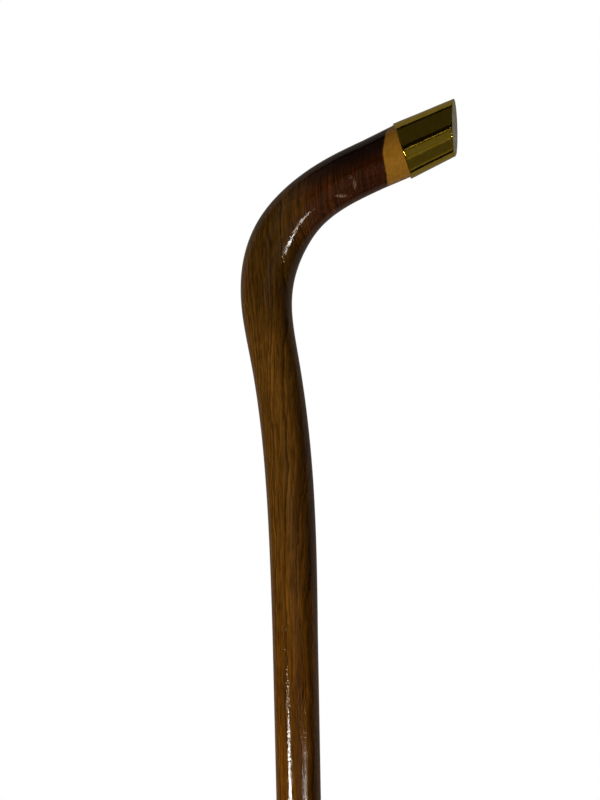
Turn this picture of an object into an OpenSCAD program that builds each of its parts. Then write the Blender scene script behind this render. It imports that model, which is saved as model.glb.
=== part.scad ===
// Walking cane: a one-piece carved stick with a forward-bent handle, a brass cap
// on the handle's end, and a brass ferrule with a pull-off rubber tip at the foot.
// Millimetres, +Z up. The origin is the centre of the face that stands on the ground.
// The straight shaft runs up the Z axis and the handle reaches towards +X.

/* [Stick] */
// Height from the ground to the highest edge of the cap
overall_h = 914; // [800:1:1000]
// Distance from the shaft's axis to the cap's end face
reach = 87.3; // [80:0.1:110]
// Diameter at the top of the straight shaft, where the back sweep starts
shaft_d = 23.3; // [20:0.1:24]
// Diameter of the neck between the shaft and the bend
neck_d = 24.4; // [22:0.1:26]
// Largest diameter, in the middle of the bend
bend_d = 28.7; // [27:0.1:32]
// Diameter of the grip just after the bend
grip_d = 26.5; // [25:0.1:28]
// Diameter of the grip at the cap's rear rim
grip_end_d = 27.4; // [26.5:0.1:28.5]

/* [Curve] */
// Length of the back sweep along the stick's centre line
back_len = 162; // [140:1:200]
// How far the back sweep would lean away from the handle, in degrees
back_angle = 12.1; // [6:0.1:16]
// Length of the forward bend along the centre line
bend_len = 127.4; // [110:0.1:135]
// Stretch that the back sweep and the forward bend share
bend_lap = 22; // [10:1:40]
// Slope of the grip above the horizontal, in degrees
grip_angle = 22.6; // [10:0.1:30]
// Length over which the shaft thickens to the neck
neck_len = 90; // [60:1:130]
// Half width of the bell-shaped swelling on the neck's side of the bend
swell_in = 33.5; // [25:0.5:45]
// Half width of the bell-shaped swelling on the grip's side of the bend
swell_out = 19; // [15:0.5:26]

/* [Cap] */
// Length of the cap along the grip's axis
cap_len = 29.5; // [24:0.1:32]
// How far the sleeve's rear rim stands out from the wood
cap_proud = 0.95; // [0.5:0.05:1.5]
// Depth of the shoulder that the stick has for the sleeve
seat_step = 0.4; // [0.3:0.05:0.8]
// How much slimmer the cap is at its end face than at its rear rim
cap_slim = 2.5; // [0.5:0.1:3]
// Thickness of the end plate
plate_t = 1.2; // [0.8:0.1:2]
// How far the rear rim is out of square with the grip, seen from the side
rim_tilt = 5.2; // [0:0.1:8]
// How far the rear rim is out of square with the grip, seen from above
rim_yaw = 6.6; // [0:0.1:8]

/* [Ferrule] */
// Outside diameter of the ferrule, the size of tip that it takes
ferrule_d = 20; // [18:0.1:22]
// Length of the ferrule
ferrule_len = 50; // [46:1:60]
// Wall of the ferrule
ferrule_wall = 1; // [0.6:0.1:1.5]
// Height of the steel plug inside the ferrule
plug_seat = 4; // [3:0.5:8]
// How far the steel plug stands out below the ferrule
plug_nose = 2; // [1:0.5:4]
// Diameter of the two pins that hold the ferrule
pin_d = 1.6; // [1.2:0.1:2]
// Length of each pin under its head
pin_len = 7; // [5:0.5:8]
// Diameter of each pin's domed head
pin_head_d = 3.4; // [3:0.1:4]
// Height of each pin's domed head
pin_head_h = 0.8; // [0.5:0.1:1.2]
// Distance from the ferrule's upper edge down to the pins
pin_drop = 6; // [4:0.5:8]

/* [Rubber tip] */
// Height of the rubber tip
tip_h = 44; // [38:1:46]
// Rubber between the ground and the washer
tip_base = 7; // [5:0.5:9]
// Largest diameter of the tip's foot
tip_foot_d = 35; // [33:0.5:40]
// Height of the widest part of the foot
tip_foot_h = 6; // [4:0.5:8]
// Wall of the tip's tapered neck at its thinnest
tip_wall = 2.6; // [2:0.1:4]
// Height where the flared foot runs out into the neck
tip_flare_h = 20; // [16:1:24]
// How far the bead around the mouth stands out
bead_out = 1.2; // [0.5:0.1:2]
// Height of the bead around the mouth
bead_h = 4; // [2:0.5:6]
// Depth of the round grooves in the tread
groove_depth = 1.2; // [0.8:0.1:2]
// Width of each groove and of each land between them
groove_w = 2; // [1.5:0.1:2.4]
// Number of grooves in the tread
grooves = 3; // [1:1:3]
// Thickness of the steel washer in the socket's floor
washer_t = 1.5; // [1:0.1:2.5]
// Hole in the steel washer
washer_hole_d = 6; // [4:0.5:10]
// How far the washer reaches under the rubber around it
washer_lip = 1.2; // [0.8:0.1:1.8]

/* [Fits] */
// Radial gap of the glued and driven seats
seat_gap = 0.05; // [0.02:0.01:0.1]
// Radial gap between the ferrule and the rubber tip
slip_gap = 0.05; // [0.02:0.01:0.1]
// Gap left for glue at the end of a seat
end_gap = 0.3; // [0.1:0.1:0.6]

/* [Hidden] */
$fn = 96;
// Sides and ring spacing of the carved wood
sides = 40;
ring_pitch = 4;
// Larger than anything that a cut has to clear
big = 200;

// Stack of pieces at the foot
washer_top = tip_base + washer_t;
ferrule_z = washer_top + plug_nose;
ferrule_top = ferrule_z + ferrule_len;
plug_top = ferrule_z + plug_seat;
bore_d = ferrule_d - 2 * ferrule_wall;
tenon_d = bore_d - 2 * seat_gap;
tenon_z = plug_top + end_gap;
pin_z = ferrule_top - pin_drop;
socket_d = ferrule_d + 2 * slip_gap;
washer_d = socket_d + 2 * washer_lip;
neck_r = socket_d / 2 + tip_wall;

// Sleeve and the wood inside it
cap_rear_d = grip_end_d + 2 * cap_proud;
cap_front_d = cap_rear_d - cap_slim;
seat_inset = cap_proud + seat_step;
cap_wall = seat_inset - seat_gap;

// Centre line of the curved part, from the top of the straight shaft to the grip
bend_start = back_len - bend_lap;
bend_mid = bend_start + bend_len / 2;
sweep_len = bend_start + bend_len;
rings = ceil(sweep_len / ring_pitch);
step = sweep_len / rings;
mid_headings = [for (i = [0:rings - 1]) heading((i + 0.5) * step)];
sweep_x = running_sums([for (h = mid_headings) step * cos(h)]);
sweep_rise = running_sums([for (h = mid_headings) step * sin(h)]);

// Straight grip and cap, measured along the grip's axis from the end of the bend
grip_len = (reach - sweep_x[rings]) / cos(grip_angle);
rim_at = grip_len - cap_len;
cap_taper = cap_slim / 2 / cap_len;
// How far the slanted rim reaches from its middle along the grip, and a little more
rim_reach = cap_rear_d / 2 * (tan(rim_tilt) + tan(rim_yaw)) + 0.5;
// The cone is cut on a slant, so its highest edge lies behind the axis's own end
top_edge_r = cap_front_d / 2 / (1 + cap_taper * tan(grip_angle));
face_z = overall_h - top_edge_r / cos(grip_angle);
grip_z = face_z - grip_len * sin(grip_angle);
sweep_z = grip_z - sweep_rise[rings];

function clamp01(t) = min(max(t, 0), 1);

// Half-cosine ease from 0 to 1
function ease(t) = (1 - cos(180 * clamp01(t))) / 2;

// Direction of the centre line at arc length s, in degrees above +X
function heading(s) = 90 + back_angle * pow(clamp01(s / back_len), 2)
    - (90 + back_angle - grip_angle) * ease((s - bend_start) / bend_len);

// Bell curve, 1 at 0
function bell(t) = exp(-t * t);

// Diameter of the stick at arc length s
function stick_d(s) = s < bend_mid
    ? shaft_d + (neck_d - shaft_d) * sin(90 * clamp01(s / neck_len))
        + (bend_d - neck_d) * bell((s - bend_mid) / swell_in)
    : grip_d + (bend_d - grip_d) * bell((s - bend_mid) / swell_out);

function running_sums(v) = [
    for (i = 0, total = 0; i <= len(v); total = total + (i < len(v) ? v[i] : 0), i = i + 1)
        total
];

// Radius of the cap's outside at a distance along the grip's axis
function cap_r(at) = cap_front_d / 2 + cap_taper * (grip_len - at);

// Places children with +Z along the grip, starting at the end of the bend
module along_grip() {
    translate([sweep_x[rings], 0, grip_z])
        rotate([0, 90 - grip_angle, 0])
            children();
}

// Everything behind a plane that is parallel to the cap's end face
module behind_face(setback) {
    translate([reach - setback - big, -big / 2, face_z - big / 2])
        cube(big);
}

// Everything in front of the plane of the sleeve's rear rim, moved back by a gap
module before_rim(gap) {
    along_grip()
        translate([0, 0, rim_at])
            rotate([0, rim_tilt, 0])
                rotate([-rim_yaw, 0, 0])
                    translate([-big / 2, -big / 2, -gap])
                        cube(big);
}

// Cone along the grip's axis that follows the cap's outside, inset by a wall
module cap_cone(from, inset) {
    // It starts and ends clear of the slanted cuts
    over = cap_rear_d;
    along_grip()
        translate([0, 0, from])
            cylinder(r1 = cap_r(from) - inset, r2 = cap_r(grip_len + over) - inset,
                h = grip_len + over - from);
}

// One round ring of the carved wood, square to its heading
function ring(x, z, h, d) = [
    for (j = [0:sides - 1])
        let (a = 360 * j / sides, out = d / 2 * cos(a))
        [x + out * sin(h), d / 2 * sin(a), z - out * cos(h)]
];

// Carved outside of the stick from the ferrule to just inside the cap
module carved_wood() {
    over = 2 * rim_reach;
    over_at = rim_at + over;
    over_d = grip_end_d + (grip_end_d - grip_d) * over / rim_at;
    rounds = concat(
        [ring(0, ferrule_top + seat_gap, 90, ferrule_d)],
        [
            for (i = [0:rings])
                let (s = i * step)
                ring(sweep_x[i], sweep_z + sweep_rise[i], heading(s), stick_d(s))
        ],
        [ring(sweep_x[rings] + over_at * cos(grip_angle), grip_z + over_at * sin(grip_angle),
            grip_angle, over_d)]);
    last = len(rounds) - 1;
    skin = [
        for (i = [0:last - 1], j = [0:sides - 1])
            let (a = i * sides + j, b = i * sides + (j + 1) % sides)
            [a, a + sides, b + sides, b]
    ];
    start = [for (j = [0:sides - 1]) j];
    end = [for (j = [sides - 1:-1:0]) last * sides + j];
    polyhedron([for (round = rounds) each round], concat([start], skin, [end]), convexity = 4);
}

// Places a pin's axis on each side of the ferrule, with +Z pointing outwards
module at_pins() {
    for (side = [-1, 1])
        translate([0, side * ferrule_d / 2, pin_z])
            rotate([-90 * side, 0, 0])
                children();
}

module stick() {
    color("saddlebrown")
        difference() {
            union() {
                translate([0, 0, tenon_z])
                    cylinder(d = tenon_d, h = ferrule_top + 1 - tenon_z);
                difference() {
                    carved_wood();
                    before_rim(seat_gap);
                }
                intersection() {
                    cap_cone(rim_at - rim_reach, seat_inset);
                    behind_face(plate_t + end_gap);
                }
            }
            at_pins()
                translate([0, 0, -pin_len - end_gap])
                    cylinder(d = pin_d + 2 * seat_gap, h = big);
        }
}

module cap_sleeve() {
    color("goldenrod")
        intersection() {
            difference() {
                cap_cone(rim_at - rim_reach, 0);
                cap_cone(rim_at - 2 * rim_reach, cap_wall);
            }
            before_rim(0);
            behind_face(plate_t);
        }
}

module cap_end_plate() {
    color("darkkhaki")
        difference() {
            intersection() {
                cap_cone(rim_at, 0);
                behind_face(0);
            }
            behind_face(plate_t);
        }
}

module ferrule() {
    color("goldenrod")
        difference() {
            translate([0, 0, ferrule_z])
                cylinder(d = ferrule_d, h = ferrule_len);
            translate([0, 0, ferrule_z - 1])
                cylinder(d = bore_d, h = ferrule_len + 2);
            at_pins()
                translate([0, 0, -2 * ferrule_wall])
                    cylinder(d = pin_d + 2 * seat_gap, h = 4 * ferrule_wall);
        }
}

// Steel disc in the ferrule's lower end, with a nose as wide as the ferrule
module ferrule_plug() {
    color("slategray")
        union() {
            translate([0, 0, washer_top])
                cylinder(d = ferrule_d, h = plug_nose);
            translate([0, 0, ferrule_z])
                cylinder(d = bore_d - 2 * seat_gap, h = plug_seat);
        }
}

module ferrule_pins() {
    // Sphere whose cap, as high as the head, has the head's diameter
    dome_r = (pow(pin_head_d / 2, 2) + pow(pin_head_h, 2)) / (2 * pin_head_h);
    color("khaki")
        at_pins() {
            translate([0, 0, -pin_len])
                cylinder(d = pin_d, h = pin_len + pin_head_h / 2);
            difference() {
                translate([0, 0, pin_head_h - dome_r])
                    sphere(r = dome_r);
                // The head's underside fits the ferrule's round wall
                translate([-big / 2, -big / 2, -big])
                    cube(big);
            }
        }
}

module rubber_tip() {
    foot_r = tip_foot_d / 2;
    // Flare from the foot up to the neck, as one concave curve
    flare = [
        for (t = [0:0.1:1])
            [neck_r + (foot_r - neck_r) * pow(1 - t, 2), tip_foot_h + (tip_flare_h - tip_foot_h) * t]
    ];
    bead_r = neck_r + bead_out;
    chamfer = tip_foot_h / 4;
    color("dimgray")
        difference() {
            rotate_extrude()
                polygon(concat(
                    [[0, 0], [foot_r - chamfer, 0], [foot_r, chamfer]],
                    flare,
                    [[neck_r, tip_h - bead_h - bead_out], [bead_r, tip_h - bead_h],
                        [bead_r, tip_h - bead_out / 2], [bead_r - bead_out / 2, tip_h], [0, tip_h]]));
            translate([0, 0, tip_base])
                cylinder(d = socket_d, h = tip_h);
            translate([0, 0, tip_base])
                cylinder(d = washer_d + 2 * seat_gap, h = washer_t);
            for (i = [1:grooves])
                tread_ring(foot_r - chamfer - 2 * i * groove_w);
        }
}

// One round groove in the tread, given the radius of its inner wall
module tread_ring(inner) {
    difference() {
        translate([0, 0, -1])
            cylinder(r = inner + groove_w, h = groove_depth + 1);
        translate([0, 0, -2])
            cylinder(r = inner, h = groove_depth + 4);
    }
}

module tip_washer() {
    color("silver")
        difference() {
            translate([0, 0, tip_base])
                cylinder(d = washer_d, h = washer_t);
            translate([0, 0, tip_base - 1])
                cylinder(d = washer_hole_d, h = washer_t + 2);
        }
}

stick();
cap_sleeve();
cap_end_plate();
ferrule();
ferrule_plug();
ferrule_pins();
rubber_tip();
tip_washer();
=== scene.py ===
from math import ceil, cos, exp, pi, radians, sin, sqrt, tan

import bmesh
import bpy
from bpy.props import FloatProperty, FloatVectorProperty, IntProperty, PointerProperty
from mathutils import Matrix, Vector


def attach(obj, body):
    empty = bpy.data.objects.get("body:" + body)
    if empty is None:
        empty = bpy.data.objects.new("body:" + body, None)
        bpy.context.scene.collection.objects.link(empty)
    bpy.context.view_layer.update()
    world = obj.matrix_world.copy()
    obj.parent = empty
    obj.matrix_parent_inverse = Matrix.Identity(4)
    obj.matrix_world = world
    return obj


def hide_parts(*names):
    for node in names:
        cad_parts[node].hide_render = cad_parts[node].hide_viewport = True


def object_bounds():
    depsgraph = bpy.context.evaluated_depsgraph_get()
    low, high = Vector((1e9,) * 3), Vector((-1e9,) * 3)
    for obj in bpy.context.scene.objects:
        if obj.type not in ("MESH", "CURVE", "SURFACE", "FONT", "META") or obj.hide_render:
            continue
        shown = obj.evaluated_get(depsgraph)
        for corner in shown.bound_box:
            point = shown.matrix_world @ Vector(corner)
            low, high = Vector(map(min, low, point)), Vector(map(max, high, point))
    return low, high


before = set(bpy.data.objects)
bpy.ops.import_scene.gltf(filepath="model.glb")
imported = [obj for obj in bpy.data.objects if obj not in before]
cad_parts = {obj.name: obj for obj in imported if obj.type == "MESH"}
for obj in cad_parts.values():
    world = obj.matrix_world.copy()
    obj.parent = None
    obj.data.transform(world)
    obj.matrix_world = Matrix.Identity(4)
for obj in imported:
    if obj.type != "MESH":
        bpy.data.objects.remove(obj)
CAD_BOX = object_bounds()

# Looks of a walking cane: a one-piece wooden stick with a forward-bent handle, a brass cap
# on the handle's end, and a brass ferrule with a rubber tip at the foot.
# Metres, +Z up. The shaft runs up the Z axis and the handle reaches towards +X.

bl_info = {
    "name": "Walking cane",
    "version": (1, 0, 0),
    "blender": (4, 5, 0),
    "location": "3D View > Sidebar > Cane",
    "description": "Makes a lacquered wooden walking cane with brass fittings",
    "category": "Add Mesh",
}

MM = 0.001
SIDEWAYS = Vector((0, 1, 0))
SHARP_EDGE = radians(32)
# Angles along a rounded edge, and steps along a softened corner
ROUND_TURNS = [radians(15 * i) for i in range(7)]
CORNER_STEPS = 4
# Colours of the lamps' light and of the cards that are seen in reflections
LAMP_TINT = (1.0, 0.97, 0.92)
CARD_TINT = (1.0, 0.87, 0.73)
# Share of the grip's length where the cards' arcs are centred
CARD_CENTRE = 0.7
# Cosine and sine of the grip's slope, which the painted shade on the grip's top follows
GRIP_COS, GRIP_SIN = 0.923, 0.384


def linear(red, green, blue):
    """Linear colour from the usual 0 to 255 values."""
    def channel(value):
        value /= 255
        return value / 12.92 if value <= 0.04045 else ((value + 0.055) / 1.055) ** 2.4
    return (channel(red), channel(green), channel(blue))


def length(name, default_mm, description):
    """A size in metres that a user can change, with its default in millimetres."""
    return FloatProperty(name=name, description=description, default=default_mm * MM,
                         min=0, precision=5, subtype="DISTANCE", unit="LENGTH")


def angle(name, degrees, description):
    """An angle that a user can change, with its default in degrees."""
    return FloatProperty(name=name, description=description, default=radians(degrees),
                         subtype="ANGLE", unit="ROTATION")


def colour(name, default, description):
    """A linear colour that a user can change."""
    return FloatVectorProperty(name=name, description=description, default=default,
                               subtype="COLOR", size=3, min=0, max=1)


def amount(name, default, description):
    """A plain number that a user can change."""
    return FloatProperty(name=name, description=description, default=default)


class StickSizes(bpy.types.PropertyGroup):
    """Sizes of the wooden stick."""
    height: FloatProperty(name="Height", description="Ground to the cap's highest edge",
                          default=round(CAD_BOX[1].z, 4), subtype="DISTANCE", unit="LENGTH")
    reach: FloatProperty(name="Reach", description="Shaft's axis to the cap's end face",
                         default=round(CAD_BOX[1].x, 4), subtype="DISTANCE", unit="LENGTH")
    shaft_d: length("Shaft", 23.3, "Diameter at the top of the straight shaft")
    neck_d: length("Neck", 24.4, "Diameter between the shaft and the bend")
    bend_d: length("Bend", 28.7, "Largest diameter, in the middle of the bend")
    grip_d: length("Grip", 26.5, "Diameter of the grip just after the bend")
    grip_end_d: length("Grip's end", 27.4, "Diameter of the grip at the cap's rim")
    back_len: length("Back sweep", 162, "Length of the back sweep along the centre line")
    back_angle: angle("Back angle", 12.1, "How far the back sweep would lean")
    bend_len: length("Bend length", 127.4, "Length of the bend along the centre line")
    bend_lap: length("Overlap", 22, "Stretch that the back sweep and the bend share")
    grip_angle: angle("Grip slope", 22.6, "Slope of the grip above the horizontal")
    neck_len: length("Neck length", 90, "Length over which the shaft thickens")
    swell_in: length("Swelling below", 33.5, "Half width of the swelling towards the neck")
    swell_out: length("Swelling beyond", 19, "Half width of the swelling towards the grip")
    dent: length("Dent", 0.16, "Depth of the two dents on the handle")
    sides: IntProperty(name="Sides", description="Points around each ring", default=160)
    pitch: length("Ring pitch", 1.34, "Distance between the rings of the bend")


class CapSizes(bpy.types.PropertyGroup):
    """Sizes of the brass cap on the handle."""
    cap_len: length("Length", 29.5, "Length of the cap along the grip")
    proud: length("Proud", 0.95, "How far the rear rim stands out from the wood")
    seat_step: length("Seat", 0.4, "Depth of the shoulder in the wood")
    wall_fall: length("Wall's fall", 0.12, "How far the wall falls away at both of its ends")
    slim: length("Slimming", 2.5, "How much slimmer the cap is at its end face")
    plate_t: length("End plate", 1.2, "Thickness of the end plate")
    rim_tilt: angle("Rim tilt", 5.2, "Rear rim out of square, seen from the side")
    rim_yaw: angle("Rim yaw", 6.6, "Rear rim out of square, seen from above")
    rim_round: length("Rim rounding", 0.6, "Radius of the rear rim's edge")
    edge_round: length("Edge rounding", 0.45, "Radius of the end plate's edge")
    waves: length("Waves", 0.09, "Height of the shallow waves in the polished wall")
    seat_gap: length("Seat gap", 0.05, "Radial gap of the glued seats")
    end_gap: length("End gap", 0.3, "Gap left for glue at the end of a seat")


class FootSizes(bpy.types.PropertyGroup):
    """Sizes of the ferrule and the rubber tip."""
    ferrule_d: length("Ferrule", 20, "Outside diameter of the ferrule")
    ferrule_len: length("Ferrule length", 50, "Length of the ferrule")
    ferrule_wall: length("Ferrule wall", 1, "Wall of the ferrule")
    plug_seat: length("Plug seat", 4, "Height of the plug inside the ferrule")
    plug_nose: length("Plug nose", 2, "How far the plug stands out below")
    pin_d: length("Pin", 1.6, "Diameter of the two pins")
    pin_len: length("Pin length", 7, "Length of each pin under its head")
    pin_head_d: length("Pin head", 3.4, "Diameter of the domed head")
    pin_head_h: length("Pin head height", 0.8, "Height of the domed head")
    pin_drop: length("Pin drop", 6, "Ferrule's upper edge down to the pins")
    tip_h: length("Tip height", 44, "Height of the rubber tip")
    tip_base: length("Tip base", 7, "Rubber between the ground and the washer")
    tip_foot_d: length("Tip foot", 35, "Largest diameter of the tip")
    tip_foot_h: length("Foot height", 6, "Height of the widest part")
    tip_wall: length("Tip wall", 2.6, "Thinnest wall of the tip's neck")
    tip_flare_h: length("Flare height", 20, "Height where the flare ends")
    bead_out: length("Bead", 1.2, "How far the mouth's bead stands out")
    bead_h: length("Bead height", 4, "Height of the mouth's bead")
    groove_depth: length("Groove depth", 1.2, "Depth of the round tread grooves")
    groove_w: length("Groove width", 2, "Width of each groove and land")
    grooves: IntProperty(name="Grooves", description="Round grooves in the tread", default=3)
    washer_t: length("Washer", 1.5, "Thickness of the steel washer")
    washer_hole_d: length("Washer hole", 6, "Hole in the steel washer")
    washer_lip: length("Washer lip", 1.2, "How far the washer reaches under the rubber")
    slip_gap: length("Slip gap", 0.05, "Radial gap between the ferrule and the tip")
    soft_edge: length("Soft edges", 0.3, "Rounding of the turned pieces' edges")


class Finish(bpy.types.PropertyGroup):
    """Colours of the finishes."""
    heartwood: colour("Heartwood", linear(80, 51, 13), "Main brown of the shaft")
    low_wood: colour("Low shaft", linear(84, 49, 8), "Warmer brown lower down")
    grip_wood: colour("Grip wood", linear(56, 25, 3), "Darker brown of the grip")
    dark_wood: colour("Dark wood", linear(48, 17, 1), "Darkest growth rings")
    sapwood: colour("Sapwood", linear(134, 92, 24), "Pale wood at the cap")
    # Partly worn lacquer, partly painted highlight: pale colour of the marks at the dents
    painted_top_shade: colour("Painted top shade", linear(9, 3, 1), "Nearly black top of the grip")
    # Painted shade: the nearly black colour of the grip's top stands in for shade
    scuff_and_glint: colour("Scuff and painted glint", linear(128, 104, 84), "Worn lacquer")
    brass: colour("Brass", (0.80, 0.64, 0.10), "Polished brass")
    satin: colour("Satin brass", linear(245, 236, 208), "Matt end face of the cap")
    steel: colour("Steel", (0.50, 0.50, 0.49), "Turned steel")
    rubber: colour("Rubber", (0.013, 0.013, 0.014), "Black rubber")
    sapwood_at: length("Sapwood edge", 53.4, "Distance of the sapwood from the shaft's axis")
    pith_back: length("Pith", 80, "Distance of the tree's heart behind the shaft")


class Studio(bpy.types.PropertyGroup):
    """Camera, lamps and reflectors."""
    look_x: length("Look at X", 5.023, "Point that the camera looks at")
    look_z: length("Look at Z", 763.392, "Height that the camera looks at")
    distance: length("Distance", 1200, "Camera to that point")
    yaw: angle("Yaw", 9.5, "Camera's place round the cane")
    roll: angle("Roll", 1.2, "Camera's roll")
    lens: FloatProperty(name="Lens", description="Focal length in millimetres",
                        default=105.674, subtype="DISTANCE_CAMERA")
    ambient: amount("Ambient", 0.13, "Even light from all around")
    floor: colour("Floor", (0.80, 0.80, 0.79), "Pale floor")
    floor_radius: length("Floor radius", 3000, "Radius of the floor")


class CaneSettings(bpy.types.PropertyGroup):
    """All that can be set on the cane and its stage."""
    stick: PointerProperty(type=StickSizes)
    cap: PointerProperty(type=CapSizes)
    foot: PointerProperty(type=FootSizes)
    finish: PointerProperty(type=Finish)
    studio: PointerProperty(type=Studio)


def ease(t):
    """Half-cosine ease from 0 to 1."""
    return (1 - cos(pi * min(max(t, 0), 1))) / 2


def bell(t):
    """Bell curve, 1 at 0."""
    return exp(-t * t)


class Form:
    """The shape that the pieces share, worked out from the sizes."""

    def __init__(self, settings):
        self.stick, self.cap, self.foot = settings.stick, settings.cap, settings.foot
        stick, cap, foot = self.stick, self.cap, self.foot
        self.bend_start = stick.back_len - stick.bend_lap
        self.bend_mid = self.bend_start + stick.bend_len / 2
        self.sweep_len = self.bend_start + stick.bend_len
        self.rings = ceil(self.sweep_len / stick.pitch)
        self.step = self.sweep_len / self.rings
        slope = stick.grip_angle
        self.axis = Vector((cos(slope), 0, sin(slope)))
        self.out = Vector((sin(slope), 0, -cos(slope)))
        self.rear_d = stick.grip_end_d + 2 * cap.proud
        self.taper = cap.slim / 2 / cap.cap_len
        front_d = self.rear_d - cap.slim
        top_edge_r = front_d / 2 / (1 + self.taper * tan(slope))
        face_z = stick.height - top_edge_r / cos(slope)
        line = [Vector((0, 0, 0))]
        for i in range(self.rings):
            h = self.heading((i + 0.5) * self.step)
            line.append(line[-1] + self.step * Vector((cos(h), 0, sin(h))))
        self.grip_len = (stick.reach - line[-1].x) / cos(slope)
        self.rim_at = self.grip_len - cap.cap_len
        grip_z = face_z - self.grip_len * sin(slope)
        self.sweep_z = grip_z - line[-1].z
        self.line = [p + Vector((0, 0, self.sweep_z)) for p in line]
        self.bend_end = self.line[-1]
        self.cap_front = front_d / 2 + self.taper * self.grip_len
        # Stack at the foot
        self.washer_top = foot.tip_base + foot.washer_t
        self.ferrule_z = self.washer_top + foot.plug_nose
        self.ferrule_top = self.ferrule_z + foot.ferrule_len
        self.bore_d = foot.ferrule_d - 2 * foot.ferrule_wall
        self.tenon_r = self.bore_d / 2 - cap.seat_gap
        self.tenon_z = self.ferrule_z + foot.plug_seat + cap.end_gap
        self.socket_r = foot.ferrule_d / 2 + foot.slip_gap
        self.washer_r = self.socket_r + foot.washer_lip

    def heading(self, s):
        """Direction of the centre line at arc length s above the straight shaft."""
        stick = self.stick
        back = stick.back_angle * min(max(s / stick.back_len, 0), 1) ** 2
        turn = radians(90) + stick.back_angle - stick.grip_angle
        return radians(90) + back - turn * ease((s - self.bend_start) / stick.bend_len)

    def diameter(self, s):
        """Diameter of the stick at arc length s above the straight shaft."""
        stick = self.stick
        if s < self.bend_mid:
            thickening = sin(radians(90) * min(max(s / stick.neck_len, 0), 1))
            swell = bell((s - self.bend_mid) / stick.swell_in)
            return (stick.shaft_d + (stick.neck_d - stick.shaft_d) * thickening
                    + (stick.bend_d - stick.neck_d) * swell)
        swell = bell((s - self.bend_mid) / stick.swell_out)
        return stick.grip_d + (stick.bend_d - stick.grip_d) * swell

    def wood_cone(self):
        """Radius at the end of the bend, and how it falls along the grip, for the wood."""
        stick = self.stick
        return stick.grip_d / 2, -(stick.grip_end_d - stick.grip_d) / 2 / self.rim_at

    def cap_cone(self, inset=0.0):
        """Radius at the end of the bend, and how it falls along the grip, for the cap."""
        return self.cap_front - inset, self.taper

    def rim_plane(self, offset=0.0):
        """Point and normal of the plane of the sleeve's rear rim, moved along the grip."""
        slope = self.stick.grip_angle - self.cap.rim_tilt
        yaw = self.cap.rim_yaw
        normal = Vector((cos(yaw) * cos(slope), sin(yaw), cos(yaw) * sin(slope)))
        return self.bend_end + self.rim_at * self.axis + offset * normal, normal

    def face_plane(self, setback=0.0):
        """Point and normal of a plane that is parallel to the cap's end face."""
        return Vector((self.stick.reach - setback, 0, 0)), Vector((1, 0, 0))

    def cut_ring(self, plane, cone, part=1.0):
        """Ring where a cone along the grip meets a plane, or a part of the way to it."""
        (point, normal), (radius, fall) = plane, cone
        ring = []
        for i in range(self.stick.sides):
            a = 2 * pi * i / self.stick.sides
            out = self.out * cos(a) + SIDEWAYS * sin(a)
            lean = normal.dot(out)
            at = normal.dot(point - self.bend_end) - radius * lean
            at = part * at / (normal.dot(self.axis) - fall * lean)
            ring.append(self.bend_end + self.axis * at + out * (radius - fall * at))
        return ring

    def square_ring(self, centre, heading, radius):
        """Round ring, square to its heading."""
        out = Vector((sin(heading), 0, -cos(heading)))
        turns = (2 * pi * i / self.stick.sides for i in range(self.stick.sides))
        return [centre + radius * (out * cos(a) + SIDEWAYS * sin(a)) for a in turns]


def smooth(mesh):
    """Shades a mesh smooth and keeps its edges sharp."""
    mesh.shade_smooth()
    mesh.set_sharp_from_angle(angle=SHARP_EDGE)


def skin(name, rounds, material, closed=False):
    """Piece whose surface runs through a list of rings, with flat ends unless it closes."""
    sides = len(rounds[0])
    mesh = bpy.data.meshes.new(name)
    shape = bmesh.new()
    rows = [[shape.verts.new(p) for p in ring] for ring in rounds]
    pairs = list(zip(rows, rows[1:])) + ([(rows[-1], rows[0])] if closed else [])
    for low, high in pairs:
        for k in range(sides):
            m = (k + 1) % sides
            shape.faces.new((low[k], high[k], high[m], low[m]))
    if not closed:
        shape.faces.new(rows[0])
        shape.faces.new(rows[-1][::-1])
    bmesh.ops.recalc_face_normals(shape, faces=shape.faces)
    shape.to_mesh(mesh)
    shape.free()
    mesh.materials.append(material)
    smooth(mesh)
    piece = bpy.data.objects.new(name, mesh)
    bpy.context.scene.collection.objects.link(piece)
    return piece


def turned(profile, sides=128, place=None):
    """Rings of a turned shape from its outline's (radius, height) points."""
    place = place or Matrix.Identity(4)
    turns = [2 * pi * i / sides for i in range(sides)]
    return [[place @ Vector((r * cos(a), r * sin(a), z)) for a in turns] for r, z in profile]


def soften(points, radius, closed=False):
    """Outline with its corners rounded, each cut back by at most the radius."""
    rounded = []
    count = len(points)
    for i, corner in enumerate(points):
        if not closed and i in (0, count - 1):
            rounded.append(corner)
            continue
        corner = Vector(corner)
        before, after = Vector(points[i - 1]) - corner, Vector(points[(i + 1) % count]) - corner
        cut = min(radius, before.length * 0.45, after.length * 0.45)
        start, end = corner + before.normalized() * cut, corner + after.normalized() * cut
        for j in range(CORNER_STEPS + 1):
            t = j / CORNER_STEPS
            point = start * (1 - t) ** 2 + corner * 2 * t * (1 - t) + end * t ** 2
            rounded.append((point.x, point.y))
    return rounded


def settle(piece, body, slot, *nodes):
    """Hands a finished piece to the frame."""
    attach(piece, body)
    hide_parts(*nodes)


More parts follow.
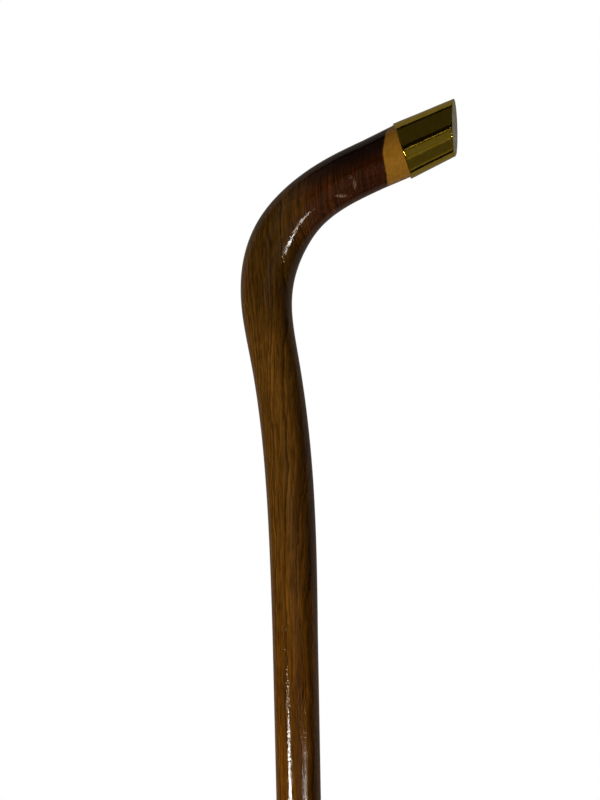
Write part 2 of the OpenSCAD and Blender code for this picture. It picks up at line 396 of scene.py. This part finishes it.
class Shading:
    """Adds and joins the nodes of one material."""

    def __init__(self, name):
        self.material = bpy.data.materials.new(name)
        self.material.use_nodes = True
        self.tree = self.material.node_tree
        self.surface = self.tree.nodes["Principled BSDF"]
        self.place = self.node("ShaderNodeTexCoord").outputs["Object"]
        self.x, self.y, self.z = self.node(
            "ShaderNodeSeparateXYZ", {"Vector": self.place}).outputs

    def node(self, kind, inputs=None, **settings):
        """A new node with its settings, values and links."""
        made = self.tree.nodes.new(kind)
        for key, value in settings.items():
            setattr(made, key, value)
        for key, value in (inputs or {}).items():
            self.feed(made.inputs[key], value)
        return made

    def feed(self, socket, value):
        """Links a socket, or gives it a value."""
        if isinstance(value, bpy.types.NodeSocket):
            self.tree.links.new(value, socket)
        else:
            socket.default_value = value

    def finish(self, **inputs):
        """Feeds the surface's sockets and returns the material."""
        for key, value in inputs.items():
            self.feed(self.surface.inputs[key.replace("_", " ")], value)
        return self.material

    def calc(self, operation, a, b=0.0):
        """One sum of two numbers."""
        return self.node("ShaderNodeMath", {0: a, 1: b}, operation=operation).outputs[0]

    def between(self, value, low, high, to_low=0.0, to_high=1.0):
        """Smooth step from one number to another as a value rises."""
        return self.node("ShaderNodeMapRange", {
            "Value": value, "From Min": low, "From Max": high,
            "To Min": to_low, "To Max": to_high}, interpolation_type="SMOOTHSTEP").outputs[0]

    def noise(self, scale, detail=2.0, roughness=0.5):
        """Noise from 0 to 1 in the piece's own space; the scale is per metre on X, Y and Z."""
        place = self.node("ShaderNodeVectorMath", {0: self.place, 1: scale},
                          operation="MULTIPLY").outputs[0]
        return self.node("ShaderNodeTexNoise", {
            "Vector": place, "Scale": 1.0, "Detail": detail, "Roughness": roughness}).outputs[0]

    def line_noise(self, value, scale, detail=2.0, roughness=0.5):
        """Noise from 0 to 1 along one number."""
        return self.node("ShaderNodeTexNoise", {
            "W": self.calc("MULTIPLY", value, scale), "Scale": 1.0, "Detail": detail,
            "Roughness": roughness}, noise_dimensions="1D").outputs[0]

    def mix(self, factor, first, second, blend="MIX"):
        """Mix of two colours."""
        made = self.node("ShaderNodeMix", data_type="RGBA", blend_type=blend)
        for index, value in ((0, factor), (6, first), (7, second)):
            if not isinstance(value, (bpy.types.NodeSocket, float)):
                value = (*value, 1.0)
            self.feed(made.inputs[index], value)
        return made.outputs[2]

    def ramp(self, value, stops):
        """Colour ramp from (position, colour) stops."""
        made = self.node("ShaderNodeValToRGB", {"Fac": value})
        elements = made.color_ramp.elements
        while len(elements) < len(stops):
            elements.new(1.0)
        for element, (position, tint) in zip(elements, stops):
            element.position = position
            element.color = (*tint, 1.0)
        return made.outputs[0]

    def bump(self, height, distance, normal=None):
        """Normal that follows a height."""
        made = self.node("ShaderNodeBump", {"Height": height, "Distance": distance,
                                            "Strength": 1.0})
        if normal is not None:
            self.feed(made.inputs["Normal"], normal)
        return made.outputs[0]


# Pale marks on the handle's front, partly worn lacquer and partly painted highlight of the dents'
# glints: place, and half size on X, Y and Z
SCUFFS_AND_GLINTS = (
    ((0.0300, -0.0100, 0.8660), (0.0040, 0.0100, 0.0012)),
    ((0.0372, -0.0120, 0.8715), (0.0011, 0.0100, 0.0034)),
    ((0.0355, -0.0125, 0.8750), (0.0009, 0.0100, 0.0013)),
)


def lacquered_wood(finish):
    """Brown heartwood with growth rings, a sapwood patch at the cap, and gloss lacquer."""
    wood = Shading("lacquered_wood")
    # Rings lie round the tree's heart, which is behind the shaft, and wander as they rise
    from_pith = wood.node("ShaderNodeVectorMath", {0: wood.node("ShaderNodeCombineXYZ", {
        "X": wood.calc("ADD", wood.x, finish.pith_back), "Y": wood.y}).outputs[0]},
        operation="LENGTH").outputs["Value"]
    drift = wood.calc("MULTIPLY", wood.calc("SUBTRACT", wood.noise((34, 34, 9), 2.0), 0.5), 0.016)
    ripple = wood.calc("MULTIPLY", wood.calc("SUBTRACT", wood.noise((130, 130, 45), 3.0, 0.6), 0.5),
                       0.0034)
    steady = wood.calc("SUBTRACT", from_pith, finish.pith_back)
    edge = wood.calc("ADD", steady, ripple)
    ring = wood.calc("ADD", edge, drift)
    # Colour by the distance from the heart: shaft, grip, dark wood, sapwood
    first, last = -0.03, 0.06
    zone = wood.node("ShaderNodeMapRange", {"Value": edge, "From Min": first, "From Max": last})
    sap = finish.sapwood_at
    stops = [
        (-0.02, finish.heartwood), (0.002, finish.heartwood), (0.018, finish.grip_wood),
        (0.030, finish.grip_wood), (0.044, finish.dark_wood),
        (sap - 0.0003, finish.dark_wood), (sap + 0.0003, finish.sapwood)]
    tint = wood.ramp(zone.outputs[0], [((at - first) / (last - first), c) for at, c in stops])
    low = wood.between(wood.z, 0.74, 0.57)
    heart_only = wood.between(edge, 0.016, 0.004)
    tint = wood.mix(wood.calc("MULTIPLY", low, heart_only), tint, finish.low_wood)
    # Growth rings, soft bands with a few thin pale lines
    bands = wood.line_noise(ring, 640, 4.0, 0.75)
    in_sap = wood.between(edge, sap - 0.0004, sap + 0.0004)
    shade = wood.between(bands, 0.34, 0.62, 0.5, 1.45)
    pale = wood.calc("ABSOLUTE", wood.calc("SUBTRACT", wood.line_noise(ring, 170, 1.0), 0.5))
    pale = wood.between(pale, 0.018, 0.0, 0.0, 0.3)
    shade = wood.calc("ADD", shade, pale)
    fibre = wood.noise((1100, 1100, 75), 4.0, 0.8)
    shade = wood.calc("MULTIPLY", shade, wood.between(fibre, 0.36, 0.64, 0.66, 1.34))
    high = wood.calc("MULTIPLY", wood.between(wood.z, 0.79, 0.825, 0.0, 0.42), heart_only)
    shade = wood.calc("MULTIPLY", shade, wood.calc("SUBTRACT", 1.0, high))
    patch = wood.noise((60, 60, 14), 2.0)
    shade = wood.calc("MULTIPLY", shade, wood.between(patch, 0.3, 0.7, 0.78, 1.2))
    pores = wood.between(wood.noise((1700, 1700, 130), 1.0), 0.62, 0.74, 1.0, 0.6)
    shade = wood.calc("MULTIPLY", shade, pores)
    calm = wood.between(fibre, 0.3, 0.7, 0.8, 1.2)
    shade = wood.node("ShaderNodeMix", {0: in_sap, 2: shade, 3: calm}).outputs[0]
    grain = wood.node("ShaderNodeCombineXYZ", {"X": shade, "Y": shade, "Z": shade}).outputs[0]
    tint = wood.mix(1.0, tint, grain, "MULTIPLY")
    # The top of the grip is painted nearly black, a painted shade for the light that doesn't reach
    # it from above; the height is taken square to the grip
    above = wood.calc("SUBTRACT", wood.calc("MULTIPLY", wood.z, GRIP_COS),
                      wood.calc("MULTIPLY", wood.x, GRIP_SIN))
    painted_top_shade = wood.calc("MULTIPLY", wood.between(above, 0.7925, 0.8035),
                      wood.between(wood.x, -0.004, 0.03))
    painted_top_shade = wood.calc("MULTIPLY", painted_top_shade, wood.between(edge, sap + 0.0004, sap - 0.0004))
    tint = wood.mix(wood.calc("MULTIPLY", painted_top_shade, 0.85), tint, finish.painted_top_shade)
    # Pale patches at the dents: partly worn lacquer, partly painted highlight that stands in for
    # the dents' glints
    for place, reach in SCUFFS_AND_GLINTS:
        away = wood.node("ShaderNodeVectorMath", {0: wood.place, 1: place},
                         operation="SUBTRACT").outputs[0]
        away = wood.node("ShaderNodeVectorMath", {0: away, 1: reach},
                         operation="DIVIDE").outputs[0]
        away = wood.node("ShaderNodeVectorMath", {0: away}, operation="LENGTH")
        scuff_and_glint_mask = wood.calc("MULTIPLY", wood.between(away.outputs["Value"], 1.0, 0.2),
                         wood.between(wood.noise((1500, 1500, 1500), 2.0), 0.4, 0.6))
        tint = wood.mix(scuff_and_glint_mask, tint, finish.scuff_and_glint)
    peel = wood.noise((950, 950, 620), 2.0, 0.6)
    sink = wood.noise((2200, 2200, 150), 1.0)
    relief = wood.calc("ADD", peel, wood.calc("MULTIPLY", sink, 0.5))
    lacquer = wood.bump(relief, 0.00007)
    return wood.finish(Base_Color=tint, Roughness=0.5, Specular_IOR_Level=0.0,
                       Coat_Weight=1.0, Coat_Roughness=0.035, Coat_IOR=1.5, Coat_Normal=lacquer)


def mirror_brass(finish):
    """Polished yellow brass with fine pits, rubbed marks and slight unevenness."""
    brass = Shading("mirror_brass")
    cloud = brass.noise((300, 300, 300), 3.0, 0.6)
    speck = brass.noise((3200, 3200, 3200), 2.0, 0.7)
    deep = tuple(c * k for c, k in zip(finish.brass, (0.84, 0.76, 0.3)))
    tint = brass.mix(brass.between(cloud, 0.3, 0.7), finish.brass, deep)
    tint = brass.mix(brass.between(speck, 0.4, 0.6, 0.0, 0.7), tint, deep)
    rubbed = brass.noise((500, 4200, 500), 2.0, 0.6)
    rough = brass.between(rubbed, 0.3, 0.8, 0.03, 0.08)
    dents = brass.bump(brass.noise((420, 420, 420), 3.0, 0.6), 0.00005)
    pits = brass.bump(speck, 0.000006, normal=dents)
    return brass.finish(Base_Color=tint, Metallic=1.0, Roughness=rough, Normal=pits)


def matt_brass(finish):
    """Matt end face, finely speckled."""
    satin = Shading("matt_brass")
    speck = satin.noise((1300, 1300, 1300), 3.0, 0.7)
    dark = tuple(c * 0.3 for c in finish.satin)
    tint = satin.mix(satin.between(speck, 0.4, 0.6), dark, finish.satin)
    rough = satin.between(speck, 0.3, 0.7, 0.42, 0.6)
    grit = satin.bump(speck, 0.00006)
    return satin.finish(Base_Color=tint, Metallic=0.1, Roughness=rough, Normal=grit)


def turned_steel(finish):
    """Turned steel with fine rings round its axis."""
    steel = Shading("turned_steel")
    flat = steel.node("ShaderNodeCombineXYZ", {"X": steel.x, "Y": steel.y}).outputs[0]
    radius = steel.node("ShaderNodeVectorMath", {0: flat}, operation="LENGTH").outputs["Value"]
    rings = steel.line_noise(radius, 4200, 2.0, 0.6)
    dark = tuple(c * 0.7 for c in finish.steel)
    tint = steel.mix(steel.between(steel.noise((500, 500, 500), 3.0), 0.3, 0.7),
                     finish.steel, dark)
    rough = steel.between(rings, 0.3, 0.7, 0.24, 0.42)
    return steel.finish(Base_Color=tint, Metallic=1.0, Roughness=rough,
                        Normal=steel.bump(rings, 0.00003))


def black_rubber(finish):
    """Matt black rubber with a fine moulded grain and grey dust near the ground."""
    rubber = Shading("black_rubber")
    grain = rubber.noise((2400, 2400, 2400), 3.0, 0.6)
    cloud = rubber.noise((180, 180, 180), 3.0, 0.6)
    dusty = tuple(c + 0.035 for c in finish.rubber)
    dust = rubber.calc("MULTIPLY", rubber.between(rubber.z, 0.016, 0.0),
                       rubber.between(cloud, 0.35, 0.7))
    tint = rubber.mix(dust, finish.rubber, dusty)
    rough = rubber.between(cloud, 0.3, 0.7, 0.5, 0.72)
    return rubber.finish(Base_Color=tint, Roughness=rough, Normal=rubber.bump(grain, 0.00008))


def material_of(name, make, finish):
    """The named material, made the first time that it is asked for.

    The names differ from those of the frame's own materials, which are there already.
    """
    return bpy.data.materials.get(name) or make(finish)


# Dents on the handle's front: place, and half size on X and on Z
DENTS = (
    (Vector((0.0305, -0.0125, 0.8655)), 0.0030, 0.0009),
    (Vector((0.0368, -0.0128, 0.8730)), 0.0014, 0.0030),
)


def dented(point, inward, depth):
    """Point of the wood pushed in where a dent lies."""
    push = 0.0
    for place, along, across in DENTS:
        gap = point - place
        push += bell(gap.x / along) * bell(gap.z / across) * bell(gap.y / 0.01)
    return point + inward * depth * push


class CANE_OT_stick(bpy.types.Operator):
    """Make the one-piece wooden stick"""
    bl_idname = "cane.stick"
    bl_label = "Stick"

    def execute(self, context):
        """Sweeps rings from the tenon in the ferrule to the seat in the cap."""
        cane = context.scene.cane
        form = Form(cane)
        stick, cap, foot = cane.stick, cane.cap, cane.foot
        up = radians(90)
        foot_z = form.ferrule_top + cap.seat_gap
        foot_r = foot.ferrule_d / 2
        rounds = [form.square_ring(Vector((0, 0, form.tenon_z)), up, form.tenon_r),
                  form.square_ring(Vector((0, 0, foot_z)), up, form.tenon_r),
                  form.square_ring(Vector((0, 0, foot_z)), up, foot_r)]
        count = ceil((form.sweep_z - foot_z) / (3 * stick.pitch))
        for i in range(1, count):
            t = i / count
            centre = Vector((0, 0, foot_z + (form.sweep_z - foot_z) * t))
            rounds.append(form.square_ring(centre, up, foot_r + (stick.shaft_d / 2 - foot_r) * t))
        for i, centre in enumerate(form.line):
            s = i * form.step
            ring = form.square_ring(centre, form.heading(s), form.diameter(s) / 2)
            rounds.append([dented(p, (centre - p).normalized(), stick.dent) for p in ring])
        rim = form.rim_plane(-cap.seat_gap)
        count = ceil(form.rim_at / stick.pitch)
        rounds += [form.cut_ring(rim, form.wood_cone(), i / count) for i in range(1, count + 1)]
        seat = form.cap_cone(cap.proud + cap.seat_step)
        rounds.append(form.cut_ring(rim, seat))
        rounds.append(form.cut_ring(form.face_plane(cap.plate_t + cap.end_gap), seat))
        wood = material_of("lacquered_wood", lacquered_wood, cane.finish)
        settle(skin("wooden_stick", rounds, wood), "cane", "stick_wood", "stick")
        return {"FINISHED"}


def wave(t, a):
    """Shallow unevenness of the cap's wall, from -1 to 1, by length and angle."""
    return (sin(5.1 * t + 2 * a) + sin(9.7 * t - 3 * a + 1) + sin(3 * t + 5 * a + 2)) / 3


class CANE_OT_cap_sleeve(bpy.types.Operator):
    """Make the brass sleeve round the handle's end"""
    bl_idname = "cane.cap_sleeve"
    bl_label = "Cap sleeve"

    def execute(self, context):
        """Runs rings along the inside, round the rear rim and back along the outside."""
        cane = context.scene.cane
        form = Form(cane)
        cap = cane.cap
        wall = form.cap_cone(cap.proud + cap.seat_step - cap.seat_gap)
        front = form.face_plane(cap.plate_t)
        rounds = [form.cut_ring(front, wall), form.cut_ring(form.rim_plane(), wall)]
        for turn in ROUND_TURNS:
            inset, offset = cap.rim_round * (1 - sin(turn)), cap.rim_round * (1 - cos(turn))
            rounds.append(form.cut_ring(form.rim_plane(offset), form.cap_cone(inset)))
        rear, fore = rounds[-1], form.cut_ring(front, form.cap_cone())
        steps, fall_steps, sides = 40, 4, cane.stick.sides
        for i in range(1, steps):
            t = i / steps
            fade = sin(pi * t)
            fall = cap.wall_fall * max(0, 1 - min(t, 1 - t) * steps / fall_steps) ** 2
            ring = []
            for k, (p, q) in enumerate(zip(rear, fore)):
                a = 2 * pi * k / sides
                out = form.out * cos(a) + SIDEWAYS * sin(a)
                dip = fall + cap.waves * fade * (1 + wave(t, a)) / 2
                ring.append(p.lerp(q, t) - out * dip)
            rounds.append(ring)
        rounds.append(fore)
        brass = material_of("mirror_brass", mirror_brass, cane.finish)
        settle(skin("brass_sleeve", rounds, brass, closed=True), "cane", "polished_brass",
               "cap_sleeve")
        return {"FINISHED"}


class CANE_OT_cap_plate(bpy.types.Operator):
    """Make the cap's end plate with its matt face"""
    bl_idname = "cane.cap_plate"
    bl_label = "Cap end plate"

    def execute(self, context):
        """Makes a slanted disc with a rounded polished edge and a satin face."""
        cane = context.scene.cane
        form = Form(cane)
        cap = cane.cap
        rounds = [form.cut_ring(form.face_plane(cap.plate_t), form.cap_cone())]
        for turn in ROUND_TURNS:
            inset, setback = cap.edge_round * (1 - cos(turn)), cap.edge_round * (1 - sin(turn))
            rounds.append(form.cut_ring(form.face_plane(setback), form.cap_cone(inset)))
        satin = material_of("matt_brass", matt_brass, cane.finish)
        piece = skin("brass_end_plate", rounds, satin)
        piece.data.materials.append(material_of("mirror_brass", mirror_brass, cane.finish))
        face_x = cane.stick.reach - 0.01 * MM
        for face in piece.data.polygons:
            face.material_index = 0 if face.center.x > face_x else 1
        settle(piece, "cane", "satin_brass", "cap_end_plate")
        return {"FINISHED"}


class CANE_OT_ferrule(bpy.types.Operator):
    """Make the brass ferrule, its steel plug and its two pins"""
    bl_idname = "cane.ferrule"
    bl_label = "Ferrule, plug and pins"

    def execute(self, context):
        """Turns the tube and the plug on the shaft's axis, and the pins across it."""
        cane = context.scene.cane
        form = Form(cane)
        cap, foot = cane.cap, cane.foot
        brass = material_of("mirror_brass", mirror_brass, cane.finish)
        steel = material_of("turned_steel", turned_steel, cane.finish)
        outer, bore = foot.ferrule_d / 2, form.bore_d / 2
        low, top = form.ferrule_z, form.ferrule_top
        tube = soften([(bore, low), (outer, low), (outer, top), (bore, top)],
                      foot.soft_edge, closed=True)
        settle(skin("brass_ferrule", turned(tube), brass, closed=True), "cane",
               "polished_brass", "ferrule")
        plug_r = bore - cap.seat_gap
        nose = foot.plug_nose
        plug = soften([(outer / 2, low - nose), (outer, low - nose), (outer, low),
                       (plug_r, low), (plug_r, low + foot.plug_seat),
                       (outer / 2, low + foot.plug_seat)], foot.soft_edge)
        settle(skin("steel_plug", turned(plug), steel), "cane", "plug_steel", "ferrule_plug")
        self.pins(form, foot, brass)
        return {"FINISHED"}

    def pins(self, form, foot, brass):
        """Both pins, as one piece."""
        head_r, head_h, shank = foot.pin_head_d / 2, foot.pin_head_h, foot.pin_d / 2
        dome_r = (head_r ** 2 + head_h ** 2) / (2 * head_h)
        steps = 8
        profile = [(shank, -foot.pin_len), (shank, 0), (head_r, 0)]
        for i in range(1, steps):
            h = head_h * i / steps
            profile.append((sqrt(dome_r ** 2 - (dome_r - head_h + h) ** 2), h))
        both = bmesh.new()
        for side in (-1, 1):
            place = (Matrix.Translation((0, side * foot.ferrule_d / 2,
                                         form.ferrule_top - foot.pin_drop))
                     @ Matrix.Rotation(radians(-90 * side), 4, "X"))
            pin = skin("pin", turned(profile, 48, place), brass)
            both.from_mesh(pin.data)
            bpy.data.objects.remove(pin)
        mesh = bpy.data.meshes.new("brass_pins")
        both.to_mesh(mesh)
        both.free()
        mesh.materials.append(brass)
        smooth(mesh)
        piece = bpy.data.objects.new("brass_pins", mesh)
        bpy.context.scene.collection.objects.link(piece)
        settle(piece, "cane", "polished_brass", "ferrule_pins")


class CANE_OT_tip(bpy.types.Operator):
    """Make the rubber tip and the steel washer inside it"""
    bl_idname = "cane.tip"
    bl_label = "Rubber tip and washer"

    def execute(self, context):
        """Turns both round the shaft's axis."""
        cane = context.scene.cane
        form = Form(cane)
        cap, foot = cane.cap, cane.foot
        foot_r, neck_r = foot.tip_foot_d / 2, form.socket_r + foot.tip_wall
        chamfer, top = foot.tip_foot_h / 4, foot.tip_h
        outline = []
        for i in range(foot.grooves, 0, -1):
            inner = foot_r - chamfer - 2 * i * foot.groove_w
            outline += [(inner, 0), (inner, foot.groove_depth),
                        (inner + foot.groove_w, foot.groove_depth), (inner + foot.groove_w, 0)]
        outline += [(foot_r - chamfer, 0), (foot_r, chamfer)]
        for i in range(11):
            t = i / 10
            outline.append((neck_r + (foot_r - neck_r) * (1 - t) ** 2,
                            foot.tip_foot_h + (foot.tip_flare_h - foot.tip_foot_h) * t))
        bead_r = neck_r + foot.bead_out
        recess_r = form.washer_r + cap.seat_gap
        outline += [(neck_r, top - foot.bead_h - foot.bead_out), (bead_r, top - foot.bead_h),
                    (bead_r, top - foot.bead_out / 2), (bead_r - foot.bead_out / 2, top),
                    (form.socket_r, top), (form.socket_r, form.washer_top),
                    (recess_r, form.washer_top), (recess_r, foot.tip_base),
                    (recess_r / 2, foot.tip_base)]
        outline[0] = (outline[0][0] / 2, 0)
        outline.insert(1, (outline[0][0] * 2, 0))
        rubber = material_of("black_rubber", black_rubber, cane.finish)
        piece = skin("black_rubber_tip", turned(soften(outline, foot.soft_edge)), rubber)
        settle(piece, "tip", "tip_rubber", "rubber_tip")
        steel = material_of("turned_steel", turned_steel, cane.finish)
        hole, outer = foot.washer_hole_d / 2, form.washer_r
        low, high = foot.tip_base, form.washer_top
        washer = soften([(hole, low), (outer, low), (outer, high), (hole, high)],
                        foot.soft_edge, closed=True)
        settle(skin("steel_washer", turned(washer), steel, closed=True), "tip", "plug_steel",
               "tip_washer")
        return {"FINISHED"}


def direction(azimuth, elevation):
    """Unit vector by degrees round the cane, from -Y towards +X, and above the horizon."""
    a, e = radians(azimuth), radians(elevation)
    return Vector((sin(a) * cos(e), -cos(a) * cos(e), sin(e)))


def lamp(name, place, aim, size, level, roll=0.0, mirrored=True):
    """Soft rectangular lamp of a given brightness, which faces a point."""
    data = bpy.data.lights.new(name, "AREA")
    data.shape = "RECTANGLE"
    data.size, data.size_y = size
    data.energy = level * pi * size[0] * size[1]
    data.color = LAMP_TINT
    made = bpy.data.objects.new(name, data)
    made.rotation_mode = "QUATERNION"
    facing = (aim - place).to_track_quat("-Z", "Y")
    turn = Matrix.Rotation(radians(roll), 4, "Z").to_quaternion()
    made.location, made.rotation_quaternion = place, facing @ turn
    made.visible_camera = False
    made.visible_glossy = mirrored
    bpy.context.scene.collection.objects.link(made)


def glow(name, level):
    """Plain emission of an even level."""
    material = bpy.data.materials.new(name)
    material.use_nodes = True
    nodes = material.node_tree.nodes
    nodes.remove(nodes["Principled BSDF"])
    light = nodes.new("ShaderNodeEmission")
    light.inputs["Color"].default_value = (*CARD_TINT, 1.0)
    light.inputs["Strength"].default_value = level
    material.node_tree.links.new(light.outputs[0], nodes["Material Output"].inputs["Surface"])
    return material


def reflector(name, form, radius, low, high, half_length, level):
    """Arc of card round the grip's axis, seen only in reflections; degrees from the front."""
    centre = form.bend_end + form.axis * form.grip_len * CARD_CENTRE
    up = -form.out
    steps = max(2, ceil((high - low) / 5))
    shape = bmesh.new()
    rows = []
    for i in range(steps + 1):
        a = radians(low + (high - low) * i / steps)
        edge = centre + radius * (-SIDEWAYS * cos(a) + up * sin(a))
        rows.append([shape.verts.new(edge + form.axis * side * half_length) for side in (-1, 1)])
    for (a, b), (c, d) in zip(rows, rows[1:]):
        shape.faces.new((a, b, d, c))
    if high - low >= 360:
        for side in (0, 1):
            shape.faces.new([row[side] for row in rows[:-1]])
    mesh = bpy.data.meshes.new(name)
    shape.to_mesh(mesh)
    shape.free()
    mesh.materials.append(glow(name, level))
    card = bpy.data.objects.new(name, mesh)
    bpy.context.scene.collection.objects.link(card)
    for ray in ("camera", "diffuse", "transmission", "volume_scatter", "shadow"):
        setattr(card, "visible_" + ray, False)


class CANE_OT_stage(bpy.types.Operator):
    """Make the floor, the surroundings, the lamps, the reflectors and the camera"""
    bl_idname = "cane.stage"
    bl_label = "Stage"

    def execute(self, context):
        """Sets the stage for the whole cane."""
        cane = context.scene.cane
        self.surroundings(context.scene, cane.studio)
        self.floor(cane.studio)
        self.lamps()
        self.reflectors(Form(cane))
        self.camera(context.scene, cane.studio)
        context.scene.view_settings.view_transform = "Standard"
        return {"FINISHED"}

    def surroundings(self, scene, studio):
        """White where the camera, metal or glass sees it, and an even light elsewhere."""
        world = bpy.data.worlds.new("studio")
        world.use_nodes = True
        scene.world = world
        nodes, links = world.node_tree.nodes, world.node_tree.links
        white = nodes["Background"]
        white.inputs["Color"].default_value = (1, 1, 1, 1)
        white.inputs["Strength"].default_value = 1.0
        even = nodes.new("ShaderNodeBackground")
        even.inputs["Color"].default_value = (1.0, 0.97, 0.93, 1)
        even.inputs["Strength"].default_value = studio.ambient
        seen = seen_directly(nodes, links)
        blend = nodes.new("ShaderNodeMixShader")
        links.new(seen, blend.inputs[0])
        links.new(even.outputs[0], blend.inputs[1])
        links.new(white.outputs[0], blend.inputs[2])
        links.new(blend.outputs[0], nodes["World Output"].inputs["Surface"])

    def floor(self, studio):
        """Pale round floor that runs out into the white surroundings."""
        bpy.ops.mesh.primitive_circle_add(vertices=96, radius=studio.floor_radius,
                                          fill_type="NGON")
        floor = bpy.context.object
        floor.name = "floor"
        shading = Shading("pale_floor")
        nodes, links = shading.tree.nodes, shading.tree.links
        shading.finish(Base_Color=(*studio.floor, 1.0), Roughness=0.9, Specular_IOR_Level=0.0)
        flat = shading.node("ShaderNodeCombineXYZ", {"X": shading.x, "Y": shading.y})
        radius = shading.node("ShaderNodeVectorMath", {0: flat.outputs[0]}, operation="LENGTH")
        fade_from, fade_to = 0.35, 1.6
        fade = shading.between(radius.outputs["Value"], fade_from, fade_to)
        white = nodes.new("ShaderNodeEmission")
        blend = nodes.new("ShaderNodeMixShader")
        links.new(shading.calc("MULTIPLY", fade, seen_directly(nodes, links)), blend.inputs[0])
        links.new(shading.surface.outputs[0], blend.inputs[1])
        links.new(white.outputs[0], blend.inputs[2])
        links.new(blend.outputs[0], nodes["Material Output"].inputs["Surface"])
        floor.data.materials.append(shading.material)
        floor.visible_glossy = False

    def lamps(self):
        """Three lamps that the lacquer mirrors, and soft light that it doesn't."""
        shaft = Vector((0, 0, 0.6))
        bend = Vector((0.005, -0.012, 0.845))
        key = shaft + direction(-35.5, -16.8) * 1.3
        lamp("key", key, Vector((0, 0, 0.7)), (0.22, 0.36), 54.0, roll=-26)
        spot = bend + direction(49.5, -23.5) * 1.3
        lamp("bend_lamp", spot, bend, (0.08, 0.05), 90.0, roll=25)
        side = shaft + direction(36.0, -17.0) * 1.3
        lamp("side_lamp", side, shaft, (0.035, 0.26), 52.0)
        aim = Vector((0.02, 0, 0.72))
        lamp("soft_front", aim + direction(-12, -22) * 1.7, aim, (0.9, 0.7), 2.6, mirrored=False)
        lamp("soft_back", aim + direction(180, -8) * 2.0, aim, (1.2, 1.2), 1.3, mirrored=False)

    def reflectors(self, form):
        """Cards that the brass and the lacquer mirror: name, radius, arc, length, level."""
        for name, radius, low, high, half_length, level in (
            ("surround", 3.8, 0, 360, 7.4, 0.006),
            ("back_above", 3.0, 98, 180, 5.6, 0.17),
            ("back_below", 3.0, -180, -118, 5.6, 0.17),
            ("high_frame", 3.5, 12, 86, 1.7, 0.10),
            ("low_frame", 3.5, -104, -14, 1.7, 0.12),
            ("ceiling", 3.2, 10, 86, 0.5, 0.034),
            ("bright_line", 3.2, -7.6, -6.2, 0.45, 0.8),
            ("front_table", 3.2, -37, -12, 0.5, 0.13),
            ("table_edge", 3.2, -46, -43, 0.5, 0.22),
            ("low_front", 3.2, -95, -50, 0.5, 0.065),
            ("low_line", 3.2, -102, -98, 0.5, 0.15),
        ):
            reflector(name, form, radius, low, high, half_length, level)

    def camera(self, scene, studio):
        """Camera at the photograph's angle."""
        level = Vector((cos(studio.yaw), sin(studio.yaw), 0))
        up = Vector((0, 0, 1))
        right = cos(studio.roll) * level - sin(studio.roll) * up
        top = sin(studio.roll) * level + cos(studio.roll) * up
        back = right.cross(top)
        data = bpy.data.cameras.new("camera")
        data.lens = studio.lens
        data.clip_start, data.clip_end = 0.05, 100
        camera = bpy.data.objects.new("camera", data)
        camera.matrix_world = Matrix.Translation(
            Vector((studio.look_x, 0, studio.look_z)) + studio.distance * back
        ) @ Matrix((right, top, back)).transposed().to_4x4()
        scene.collection.objects.link(camera)
        scene.camera = camera


def seen_directly(nodes, links):
    """1 for what the camera, metal or glass sees, 0 for what only lights the scene."""
    path = nodes.new("ShaderNodeLightPath")
    total = path.outputs["Is Camera Ray"]
    for ray in ("Is Glossy Ray", "Is Transmission Ray"):
        add = nodes.new("ShaderNodeMath")
        add.operation, add.use_clamp = "ADD", True
        links.new(total, add.inputs[0])
        links.new(path.outputs[ray], add.inputs[1])
        total = add.outputs[0]
    return total


MAKERS = (CANE_OT_stick, CANE_OT_cap_sleeve, CANE_OT_cap_plate, CANE_OT_ferrule, CANE_OT_tip,
          CANE_OT_stage)


class CANE_PT_panel(bpy.types.Panel):
    """Lists the makers of the cane's pieces."""
    bl_idname = "CANE_PT_panel"
    bl_label = "Walking cane"
    bl_space_type = "VIEW_3D"
    bl_region_type = "UI"
    bl_category = "Cane"

    def draw(self, context):
        """One button for each maker, then the sizes and colours."""
        for maker in MAKERS:
            self.layout.operator(maker.bl_idname)
        cane = context.scene.cane
        for group in (cane.stick, cane.cap, cane.foot, cane.finish, cane.studio):
            box = self.layout.box()
            for name in group.__annotations__:
                box.prop(group, name)


CLASSES = (StickSizes, CapSizes, FootSizes, Finish, Studio, CaneSettings, *MAKERS, CANE_PT_panel)


def register():
    """Adds the settings, operators and panel."""
    for each in CLASSES:
        bpy.utils.register_class(each)
    bpy.types.Scene.cane = PointerProperty(type=CaneSettings)


def unregister():
    """Takes them out again."""
    del bpy.types.Scene.cane
    for each in reversed(CLASSES):
        bpy.utils.unregister_class(each)


def main():
    """Makes the whole scene, piece by piece."""
    register()
    bpy.ops.cane.stick()
    bpy.ops.cane.cap_sleeve()
    bpy.ops.cane.cap_plate()
    bpy.ops.cane.ferrule()
    bpy.ops.cane.tip()
    bpy.ops.cane.stage()


if __name__ == "__main__":
    main()
